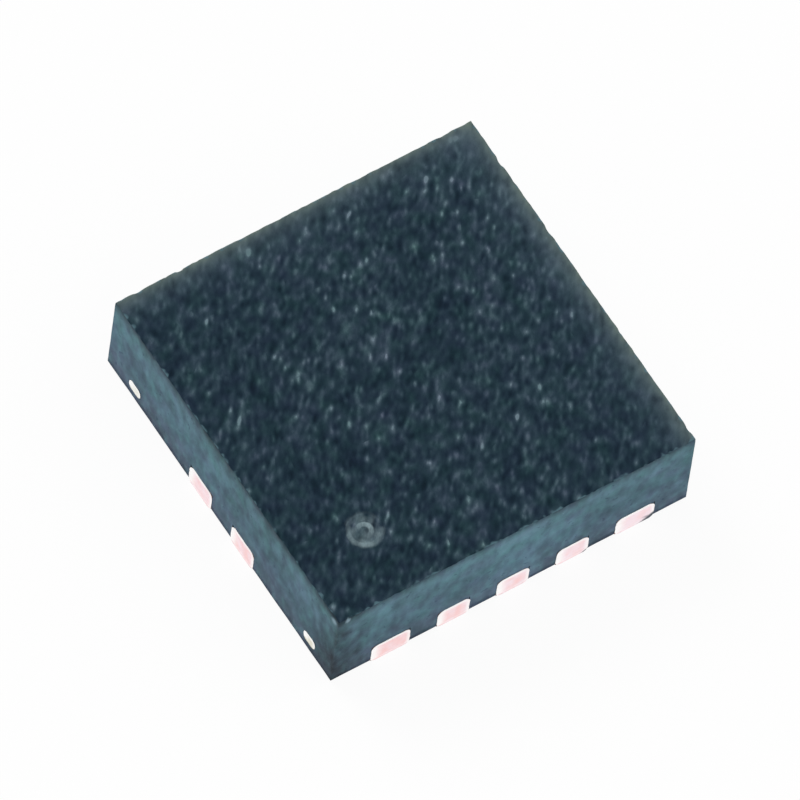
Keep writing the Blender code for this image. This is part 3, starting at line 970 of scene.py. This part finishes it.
    def drawn_in(self, x: Array, y: Array, fall: Array) -> tuple[Array, ...]:
        """Shift points inwards by the insets of the four sides, less the further in they lie.

        Args:
            x: places in X.
            y: places in Y.
            fall: distances below the top edge.

        Returns:
            The shifted places in X and Y.
        """
        west, east, south, north = (
            self.inset(side, along, fall) * np.exp(-gap / self.edge_reach)
            for side, (along, gap) in enumerate(zip((y, y, x, x), self.gaps(x, y)))
        )
        return x + west - east, y + south - north

    def edge_drop(self, x: Array, y: Array) -> Array:
        """How far the top falls at its broken edges."""
        falls = [
            self.chips(side, along) * np.exp(-gap / self.drop_reach)
            for side, (along, gap) in enumerate(zip((y, y, x, x), self.gaps(x, y)))
        ]
        return self.drop_share * np.max(falls, axis=0)

    def far_edges(self, x: Array, y: Array, name: str) -> Array:
        """How much of a tone lies along the east and north edges, from (share, reach) pairs."""
        pairs = zip(self.gaps(x, y)[1::2], self.edge_tones[name])
        tone = sum(share * np.exp(-gap / reach) for gap, (share, reach) in pairs)
        return np.minimum(tone, self.tone_limit)

    def broken(self, x: Array, y: Array, z: Array) -> Array:
        """How much of a nick's bare filler shows, 0 to 1, at points of the skin, lightened as a
        painted glint.
        """
        shown = np.zeros_like(x)
        for side, place, width, fall in self.nicks:
            along, gap = (y, y, x, x)[side], self.gaps(x, y)[side]
            reach = np.maximum(gap - self.nick_margin, 0) + np.abs(self.high.z - fall - z)
            spread = ((along - place) / width) ** 2 + (reach / self.nick_reach) ** 2
            shown = np.maximum(shown, np.exp(-spread * spread))
        return shown

    def skin(self) -> bpy.types.Mesh:
        """The closed, grained block.

        Returns:
            Its mesh: the top grid, the rings of the sides, and one face underneath.
        """
        reach = self.mark_radius + 20 * UM
        xs = graded_lines(self.low.x, self.high.x, self.pitch, self.mark_pitch, self.mark_x, reach)
        ys = graded_lines(self.low.y, self.high.y, self.pitch, self.mark_pitch, self.mark_y, reach)
        x, y = np.meshgrid(xs, ys, indexing="ij")
        inside, mark_depth, _ = self.mark(x, y)
        rough = self.skin_depth + self.relief * (1 - smooth_step(self.grain(x, y), 0.2, 1.0))
        z = self.high.z - (rough * (1 - inside) + mark_depth * inside) - self.edge_drop(x, y)
        east, north = self.drawn_in(x, y, np.zeros_like(x))
        top = np.stack([east, north, z], axis=-1).reshape(-1, 3)

        number = np.arange(x.size).reshape(x.shape)
        border = (number[:-1, 0], number[-1, :-1], number[:0:-1, -1], number[0, :0:-1])
        loop = np.concatenate(border)
        foot = self.low.z - self.overlap
        shares = (np.arange(1, self.rings + 1) / self.rings) ** 1.6
        fall = np.outer(shares, top[loop, 2] - foot)
        flat = [axis.reshape(-1)[loop][None, :] + 0 * fall for axis in (x, y)]
        side_x, side_y = self.drawn_in(*flat, fall)
        sides = np.stack([side_x, side_y, top[loop, 2] - fall], axis=-1).reshape(-1, 3)

        below = number.size + np.arange(self.rings * len(loop)).reshape(self.rings, -1)
        lines = np.vstack([loop, below])
        after = np.roll(lines, -1, axis=1)
        faces = grid_faces(number) + quads(lines[1:], after[1:], after[:-1], lines[:-1])
        faces.append(lines[-1][::-1].tolist())
        return new_mesh("moulding_skin", np.vstack([top, sides]), faces)

    def build(self) -> bpy.types.Object:
        """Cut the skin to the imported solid's imprint and dress it.

        Returns:
            The moulding.
        """
        mesh = combined("moulding", self.skin(), [merged_copy(self.node)], "INTERSECT")
        points = read_vectors(mesh.vertices, "co")
        x, y, z = points.T
        write_attribute(mesh, "grain", self.grain(x, y))
        write_attribute(mesh, "mark", self.mark(x, y)[2])
        write_attribute(mesh, "chip_and_glint", self.broken(x, y, z))
        for name in self.edge_tones:
            write_attribute(mesh, name, self.far_edges(x, y, name))

        middles, normals = (read_vectors(mesh.polygons, name) for name in ("center", "normal"))
        up = normals[:, 2]
        reach = np.minimum.reduce(self.gaps(middles[:, 0], middles[:, 1]))
        dressings = (Dressing.TOP, Dressing.SAWN, Dressing.SMOOTH)
        top, sawn, smooth = range(len(dressings))
        kinds = np.full(len(middles), smooth)
        kinds[(up > self.facing_up) & (middles[:, 2] > self.high.z - self.top_band)] = top
        kinds[(reach < self.side_band) & (np.abs(up) <= self.facing_up)] = sawn
        return add_piece(mesh, dressings, kinds, [self.node], kinds == smooth)


class Side(Enum):
    """The four sawn sides, each with its outward direction in X and Y."""

    FRONT = (0, -1)
    BACK = (0, 1)
    LEFT = (-1, 0)
    RIGHT = (1, 0)


@dataclass(frozen=True)
class Section:
    """Box round a sawn end, across its side and upwards."""

    left: float
    right: float
    low: float
    high: float


def sawn_sections(node: str, side: Side) -> list[Section]:
    """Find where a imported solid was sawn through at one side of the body.

    Args:
        node: the solid's name.
        side: the side of the body.

    Returns:
        A section for each end. Two ends lie on either side of the solid's middle.
    """
    points = read_vectors(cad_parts[node].data.vertices, "co")
    east, north = side.value
    out = points[:, 0] * east + points[:, 1] * north
    at_saw = points[side_plane(side) - out < 1 * UM]
    if len(at_saw) == 0:
        return []
    across = at_saw[:, 0] * abs(north) + at_saw[:, 1] * abs(east)
    middle = (across.min() + across.max()) / 2
    paired = (across.max() - across.min()) > 0.5 * MM
    halves = [across < middle, across >= middle] if paired else [across < np.inf]
    return [
        Section(across[h].min(), across[h].max(), at_saw[h, 2].min(), at_saw[h, 2].max())
        for h in halves
    ]


def side_plane(side: Side) -> float:
    """Distance of a side's saw cut from the origin."""
    low, high = CAD_BOX
    return {Side.FRONT: -low.y, Side.BACK: high.y, Side.LEFT: -low.x, Side.RIGHT: high.x}[side]


@dataclass
class SawnEnd:
    """End of a copper bar where the saw went through it, as a thin cap with a smeared rim.

    The cap's section is a rounded rectangle. A profile of offsets from that section and
    depths behind the sawn plane is carried round it.
    """

    side: Side
    section: Section
    seed: int
    flash_and_shade: float = 22.0 * UM
    corner: float = 50.0 * UM
    sides_of_corner: int = 8
    inner_rings: tuple[float, ...] = (-34.0 * UM, -25.0 * UM, -17.0 * UM, -10.0 * UM, -4.0 * UM)
    straight_points: int = 9
    smear: float = 6.0 * UM
    crest: float = 0.4 * UM
    dish: float = 1.4 * UM
    rim_back: float = 3.3 * UM
    burr_length: float = 85.0 * UM
    root: float = 16.0 * UM

    def __post_init__(self) -> None:
        """Find the sawn plane, and whether the section stands on the board."""
        self.plane = side_plane(self.side)
        self.on_board = self.section.low < 2 * UM
        self.middle = (self.section.left + self.section.right) / 2
        self.half_width = (self.section.right - self.section.left) / 2
        self.low, self.high = self.section.low, self.section.high

    def outline(self, offset: Array | float) -> Array:
        """Points round the section at an outward offset.

        Args:
            offset: distance outside the section, one for all points or one each.

        Returns:
            An array of (across, up) rows: arcs of radius corner plus offset about the
            corners' centres, with even points between them, kept above the board.
        """
        half_height = (self.high - self.low) / 2
        core = np.array([self.half_width - self.corner, half_height - self.corner])
        turn = np.linspace(0, math.pi / 2, self.sides_of_corner)
        angles, centres = [], []
        for quarter, (east, north) in enumerate(((1, 1), (-1, 1), (-1, -1), (1, -1))):
            angles.append(turn + quarter * math.pi / 2)
            centres.append(np.tile(core * (east, north), (self.sides_of_corner, 1)))
            onward = core * ((-east, north) if quarter % 2 == 0 else (east, -north))
            shares = np.linspace(0, 1, self.straight_points + 2)[1:-1, None]
            angles.append(np.full(self.straight_points, (quarter + 1) * math.pi / 2))
            centres.append(core * (east, north) * (1 - shares) + onward * shares)
        angle, centre = np.concatenate(angles), np.vstack(centres)
        reach = np.broadcast_to(self.corner + offset, angle.shape)
        points = centre + np.stack([np.cos(angle), np.sin(angle)], axis=1) * reach[:, None]
        points += (self.middle, (self.low + self.high) / 2)
        if self.on_board:
            points[:, 1] = np.maximum(points[:, 1], 0.3 * UM)
        return points

    def to_world(self, section: Array, depth: Array | float) -> Array:
        """Places of section points at a depth behind the sawn plane."""
        east, north = self.side.value
        out = self.plane - np.broadcast_to(depth, len(section))
        x = east * out + abs(north) * section[:, 0]
        y = north * out + abs(east) * section[:, 0]
        return np.stack([x, y, section[:, 1]], axis=1)

    def mesh(self) -> bpy.types.Mesh:
        """The closed cap.

        Returns:
            A mesh of rings: out over the dished face to the rim, round it, and back in.
        """
        count = len(self.outline(0.0))
        rough = np.random.default_rng(self.seed).standard_normal((2, count))
        rough = (rough + np.roll(rough, 1, axis=1) + np.roll(rough, 2, axis=1)) / 3
        rim = self.smear + 1.6 * UM * rough[0]
        crest = self.crest + 0.25 * UM * np.clip(rough[1], -1, 1)
        edge = self.outline(rim)
        centre = np.array([[self.middle, (self.low + self.high) / 2]])
        core = centre + 0.5 * (self.outline(self.inner_rings[0]) - centre)
        rings = [self.to_world(core, self.dish)]
        rings += [self.to_world(self.outline(offset), self.dish) for offset in self.inner_rings]
        rings += [
            self.to_world(self.outline(1 * UM), crest),
            self.to_world(edge, crest + 0.7 * UM),
            self.to_world(edge, self.rim_back),
            self.to_world(self.outline(0.5 * UM), self.rim_back + 0.4 * UM),
            self.to_world(self.outline(0.5 * UM), self.root),
        ]
        poles = [self.to_world(centre, self.dish), self.to_world(centre, self.root)]
        numbers = np.arange(len(rings) * count).reshape(len(rings), count)
        after = np.roll(numbers, -1, axis=1)
        front, back = numbers.size, numbers.size + 1
        faces = quads(numbers[:-1], after[:-1], after[1:], numbers[1:])
        faces += [[front, b, a] for a, b in zip(numbers[0].tolist(), after[0].tolist())]
        faces += [[back, a, b] for a, b in zip(numbers[-1].tolist(), after[-1].tolist())]
        mesh = new_mesh("sawn_end", np.vstack(rings + poles), faces)
        bm = bmesh.new()
        bm.from_mesh(mesh)
        bmesh.ops.recalc_face_normals(bm, faces=bm.faces)
        if bm.calc_volume(signed=True) < 0:
            bmesh.ops.reverse_faces(bm, faces=bm.faces)
        bm.to_mesh(mesh)
        bm.free()
        return mesh

    def reach(self, points: Array) -> tuple[Array, Array]:
        """Where points lie by this end.

        Args:
            points: places, one row each.

        Returns:
            Their depth behind the sawn plane, and their distance outside the section.
        """
        east, north = self.side.value
        depth = self.plane - (points[:, 0] * east + points[:, 1] * north)
        across = points[:, 0] * abs(north) + points[:, 1] * abs(east) - self.middle
        up = points[:, 2] - (self.low + self.high) / 2
        core = (self.half_width - self.corner, (self.high - self.low) / 2 - self.corner)
        gap = np.stack([np.abs(across) - core[0], np.abs(up) - core[1]], axis=1)
        outside = np.linalg.norm(np.maximum(gap, 0), axis=1)
        return depth, outside + np.minimum(gap.max(axis=1), 0) - self.corner

    def leftward(self, points: Array) -> Array:
        """How far points lie to the left of the section's middle, seen from outside."""
        east, north = self.side.value
        return points[:, 0] * north - points[:, 1] * east - self.middle * (north - east)

    def burr(self, points: Array) -> Array:
        """How near points are to the left tip, where the saw drew the copper out thin and a painted
        highlight is put.
        """
        past = self.leftward(points) - self.half_width
        return smooth_step(past, -self.burr_length, -20 * UM)

    def highlight_share(self, points: Array) -> Array:
        """How much of the rim's painted highlight there is: all of it at the left end, less to the
        right.
        """
        return 0.78 + 0.22 * smooth_step(self.leftward(points), -self.half_width, 0.0)

    def smear_and_shade(self, points: Array) -> Array:
        """How much dark epoxy smear and painted shade cover points of the lower right corner, 0 to
        1.
        """
        past = self.half_width + self.leftward(points)
        slope = past / self.flash_and_shade + (points[:, 2] - self.low) / (0.62 * self.flash_and_shade)
        return smooth_step(slope, 1.3, 0.8)


@dataclass
class CopperPiece:
    """A terminal or the die pad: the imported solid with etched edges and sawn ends."""

    node: str
    ends: list[SawnEnd]
    edge_radius: float = 8.0 * UM
    edge_steps: int = 2
    trim: float = 8.0 * UM
    skin: float = 4.0 * UM
    smeared: float = 20.0 * UM
    rim_band: tuple[float, float] = (-36.0 * UM, -4.0 * UM)
    foot_band: tuple[float, float] = (4.0 * UM, 26.0 * UM)
    burr_light: float = 0.9

    def softened(self) -> bpy.types.Mesh:
        """Copy of the solid, trimmed at the saw's planes, with its sharp edges rounded.

        Returns:
            The closed mesh.
        """
        mesh = merged_copy(self.node)
        points = read_vectors(mesh.vertices, "co")
        for end in self.ends:
            east, north = end.side.value
            depth, _ = end.reach(points)
            cut = (depth < 1 * UM)[:, None]
            points -= cut * np.array([east, north, 0.0]) * self.trim
        mesh.vertices.foreach_set("co", points.astype(np.float32).ravel())
        bm = bmesh.new()
        bm.from_mesh(mesh)
        flat = math.radians(0.5)
        bmesh.ops.dissolve_limit(bm, angle_limit=flat, verts=bm.verts, edges=bm.edges)
        sharp = [e for e in bm.edges if e.is_manifold and e.calc_face_angle() > math.radians(35)]
        bmesh.ops.bevel(
            bm,
            geom=sharp,
            offset=self.edge_radius,
            offset_type="OFFSET",
            segments=self.edge_steps,
            profile=0.5,
            affect="EDGES",
            clamp_overlap=True,
        )
        bmesh.ops.triangulate(bm, faces=bm.faces)
        bmesh.ops.remove_doubles(bm, verts=bm.verts, dist=WELD)
        bm.to_mesh(mesh)
        bm.free()
        return mesh

    def build(self) -> bpy.types.Object:
        """Join the caps to the solid and dress the piece.

        Returns:
            The piece.
        """
        caps = [end.mesh() for end in self.ends]
        mesh = combined(f"copper_{self.node}", self.softened(), caps, "UNION")
        points = read_vectors(mesh.vertices, "co")
        middles, normals = (read_vectors(mesh.polygons, name) for name in ("center", "normal"))
        rim, flash_and_shade = np.zeros(len(points)), np.zeros(len(points))
        dressings = (
            *(Dressing.COPPER, Dressing.TIN, Dressing.SAWN),
            *(Dressing.CUT_COPPER, Dressing.CUT_ARM),
        )
        etched, tin, sawn, cut, arm = range(len(dressings))
        kinds = np.full(len(middles), etched)
        kinds[(normals[:, 2] < -0.6) & (middles[:, 2] < self.skin)] = tin
        for end in self.ends:
            depth, outside = end.reach(points)
            # Painted highlight along the smeared rim and the burr at the left tip, fading at the
            # foot.
            bright = smooth_step(outside, *self.rim_band) * end.highlight_share(points)
            bright = np.maximum(bright, self.burr_light * end.burr(points))
            bright *= smooth_step(points[:, 2] - end.low, *self.foot_band)
            here = (depth < self.skin + 1 * UM) & (outside < self.smeared)
            rim = np.where(here, np.maximum(rim, bright), rim)
            # Dark epoxy smear with painted shade over the lower right corner.
            flash_and_shade = np.where(here & end.on_board, end.smear_and_shade(points), flash_and_shade)
            depth, outside = end.reach(middles)
            behind = normals @ np.array([*end.side.value, 0.0]) > 0.7
            kinds[(depth < 12 * UM) & (outside < 30 * UM) & behind] = sawn
            kinds[(depth < self.skin) & (outside < self.smeared)] = cut if end.on_board else arm
        write_attribute(mesh, "rim", rim)
        write_attribute(mesh, "flash_and_shade", flash_and_shade)
        return add_piece(mesh, dressings, kinds, [self.node])


@dataclass
class LeadFrame:
    """The copper left of the lead frame: ten terminals and the die pad with its tie bars."""

    terminals: int = 10
    flash_and_shade_sizes: dict[str, float] = field(
        default_factory=lambda: {"terminal_4": 46 * UM, "terminal_5": 105 * UM}
    )
    arm_corner: float = 35.0 * UM
    first_seed: int = 20

    def piece(self, node: str, seed: int) -> CopperPiece:
        """A packed copper solid with a cap for each of its sawn ends.

        Args:
            node: the solid's name.
            seed: seed of its first cap's ragged rim.

        Returns:
            The piece, ready to build.
        """
        ends = []
        for side in Side:
            for section in sawn_sections(node, side):
                end = SawnEnd(side, section, seed + len(ends))
                if not end.on_board:
                    end.corner = self.arm_corner
                end.flash_and_shade = self.flash_and_shade_sizes.get(node, end.flash_and_shade)
                ends.append(end)
        return CopperPiece(node, ends)

    def build(self) -> list[bpy.types.Object]:
        """Build every piece of the lead frame."""
        nodes = [f"terminal_{number}" for number in range(1, self.terminals + 1)] + ["die_pad"]
        return [self.piece(node, self.first_seed + 10 * n).build() for n, node in enumerate(nodes)]


@dataclass
class DieAndWires:
    """What the moulding hides: the die, its bed of silver epoxy and the bond wires."""

    finishes: dict[str, Dressing] = field(
        default_factory=lambda: {
            "silicon_die": Dressing.SILICON,
            "die_attach": Dressing.SILVER,
            "power_wire": Dressing.GOLD,
            "signal_wire": Dressing.GOLD,
        }
    )

    def build(self) -> None:
        """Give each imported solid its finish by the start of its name."""
        for name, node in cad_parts.items():
            for start, dressing in self.finishes.items():
                if name.startswith(start):
                    for slot in node.material_slots:
                        slot.material = dressing.material
                    log.info("%s wears %s", name, dressing.value.name)


@dataclass
class Studio:
    """Camera, soft light, and a white floor that keeps the chip's shadow."""

    azimuth: float = -0.69384483
    elevation: float = 1.05658594
    roll: float = 0.15158465
    distance: float = 213.336 * MM
    slide: float = 0.02329 * MM
    rise: float = 0.20326 * MM
    standoff: float = 0.02 * MM
    lens: float = 1350.0
    sensor: float = 36.0
    floor_size: float = 80.0 * MM
    floor_gap: float = 2.0 * UM
    sky: float = 0.62
    floor_glow: float = 0.93
    floor_shade: float = 0.92
    lamps: tuple[tuple[str, float, float, float, float], ...] = (
        ("key", 1.15, 30.0, 104.0, 42.0),
        ("fill", 0.55, 60.0, -40.0, 40.0),
    )

    def camera(self) -> bpy.types.Object:
        """Long lens at the photograph's angle, tilted as the photograph is.

        Returns:
            The scene's camera.
        """
        back = direction(self.azimuth - math.pi / 2, self.elevation)
        level = direction(self.azimuth, 0.0)
        upright = back.cross(level)
        right = math.cos(self.roll) * level + math.sin(self.roll) * upright
        up = math.cos(self.roll) * upright - math.sin(self.roll) * level
        data = bpy.data.cameras.new("camera")
        data.lens, data.sensor_width = self.lens, self.sensor
        data.clip_start, data.clip_end = 10 * MM, 1000 * MM
        camera = link("camera", data)
        turn = Matrix((right, up, back)).transposed().to_4x4()
        stand = back * self.distance + right * self.slide + up * self.rise
        stand.z += self.standoff
        camera.matrix_world = Matrix.Translation(stand) @ turn
        bpy.context.scene.camera = camera
        return camera

    def lamp(
        self, name: str, strength: float, spread: float, azimuth: float, elevation: float
    ) -> None:
        """Add a soft lamp at a great distance.

        Args:
            name: the lamp's name.
            strength: its light on a surface that faces it.
            spread: angle that it fills, in degrees.
            azimuth: where it stands, in degrees from +X towards +Y.
            elevation: how high, in degrees.
        """
        data = bpy.data.lights.new(name, "SUN")
        data.energy, data.angle = strength, math.radians(spread)
        towards = direction(math.radians(azimuth), math.radians(elevation))
        link(name, data).rotation_euler = towards.to_track_quat("Z", "Y").to_euler()

    def seen(self, paint: Paint) -> Socket:
        """1 for rays that look at the surroundings directly, in a mirror or through glass."""
        kinds = ("Camera", "Glossy", "Transmission")
        rays = [paint.node("ShaderNodeLightPath", output=f"Is {kind} Ray") for kind in kinds]
        return (rays[0] + rays[1] + rays[2]).at_most(1.0)

    def world(self) -> None:
        """White surroundings, dimmer for the light that they cast than for what is seen."""
        world = bpy.data.worlds.new("surroundings")
        paint = Paint(world)
        white = {"Color": (1.0, 1.0, 1.0)}
        cast = paint.node("ShaderNodeBackground", {}, white | {"Strength": self.sky})
        shown = paint.node("ShaderNodeBackground", {}, white | {"Strength": 1.0})
        sockets = {0: self.seen(paint), 1: cast, 2: shown}
        paint.output(paint.node("ShaderNodeMixShader", {}, sockets))
        bpy.context.scene.world = world

    def floor(self) -> None:
        """Pale floor just under the board plane, one grid of flat faces.

        It is clear from below, so that the lands can be looked at.
        """
        steps = np.linspace(-self.floor_size / 2, self.floor_size / 2, 9)
        x, y = np.meshgrid(steps, steps, indexing="ij")
        points = np.stack([x, y, 0 * x - self.floor_gap], axis=-1).reshape(-1, 3)
        number = np.arange(x.size).reshape(x.shape)
        mesh = new_mesh("floor", points, grid_faces(number))
        material = bpy.data.materials.new("pale_floor")
        paint = Paint(material)
        matt = paint.node("ShaderNodeBsdfDiffuse", {}, {"Color": (self.floor_shade,) * 3})
        glow = paint.node("ShaderNodeEmission", {}, {"Color": (1.0, 1.0, 1.0), "Strength": 1.0})
        share = self.seen(paint) * self.floor_glow
        above = paint.node("ShaderNodeMixShader", {}, {0: share, 1: matt, 2: glow})
        under = paint.node("ShaderNodeNewGeometry", output="Backfacing")
        clear = paint.node("ShaderNodeBsdfTransparent")
        paint.output(paint.node("ShaderNodeMixShader", {}, {0: under, 1: above, 2: clear}))
        mesh.materials.append(material)
        floor = link("floor", mesh)

    def build(self) -> None:
        """Set up the camera, the light and the floor."""
        self.camera()
        for lamp in self.lamps:
            self.lamp(*lamp)
        self.world()
        self.floor()
        bpy.context.scene.view_settings.view_transform = "Standard"


def main() -> None:
    """Build every sub-assembly in order."""
    logging.basicConfig(level=logging.INFO, format="%(name)s: %(message)s")
    moulding = Moulding().build()
    log.info("built %s", moulding.name)
    for piece in LeadFrame().build():
        log.info("built %s", piece.name)
    DieAndWires().build()
    Studio().build()


if __name__ == "__main__":
    main()
